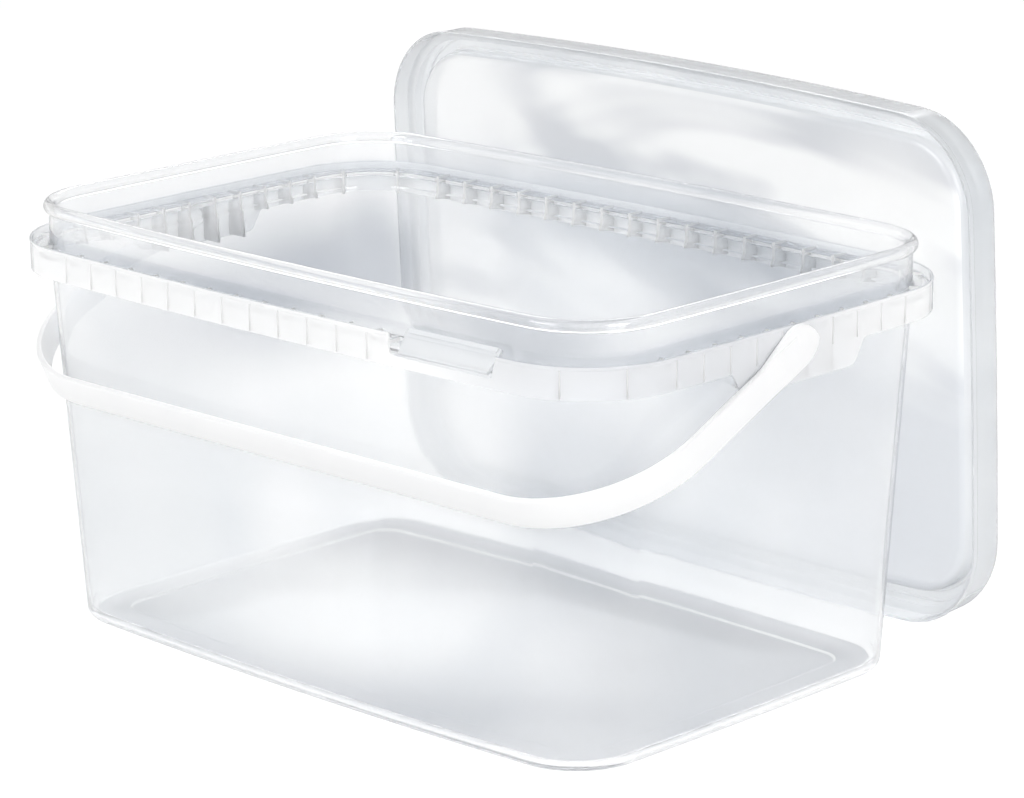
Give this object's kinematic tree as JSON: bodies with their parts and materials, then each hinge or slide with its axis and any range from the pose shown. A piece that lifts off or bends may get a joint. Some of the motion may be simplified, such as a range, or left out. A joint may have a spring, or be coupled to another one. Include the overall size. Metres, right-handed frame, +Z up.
{
  "type": "plastic bucket with lid",
  "caption": "Clear rectangular plastic bucket with a ribbed gutter rim, a white strap handle that swings over it, a tear-off tamper tab and a press-on lid that stands behind it",
  "frame": {"origin": "the middle of the bucket's flat underside, on the surface that it stands on", "axes": "+X along the long side of the bucket, to the right seen from its front; +Y to the back, where the lid stands; +Z up. The front, with the tamper tab, faces -Y."},
  "size_m": [0.2789, 0.2092, 0.1735],
  "materials": {
    "clear_plastic": "clear, slightly milky polypropylene with a soft gloss",
    "white_plastic": "white polypropylene with a satin gloss"
  },
  "bodies": {
    "bucket": {"bucket_body": "clear_plastic"},
    "bail": {"handle": "white_plastic"},
    "tab": {"tamper_tab": "clear_plastic"},
    "cover": {"lid": "clear_plastic"}
  },
  "joints": [
    {"name": "handle_swing", "type": "hinge", "parent": "bucket", "child": "bail", "pos_m": [0, 0, 0.1186], "axis": [-1, 0, 0], "range_deg": [0, 228]},
    {"name": "tab_bend", "type": "hinge", "parent": "bucket", "child": "tab", "pos_m": [0.0764, -0.08641, 0.12115], "axis": [0.9996, 0.0298, 0], "range_deg": [0, 100]},
    {"name": "lid_lift", "type": "slide", "parent": "bucket", "child": "cover", "axis": [0, 0, 1], "range_m": [0, 0.25]}
  ]
}
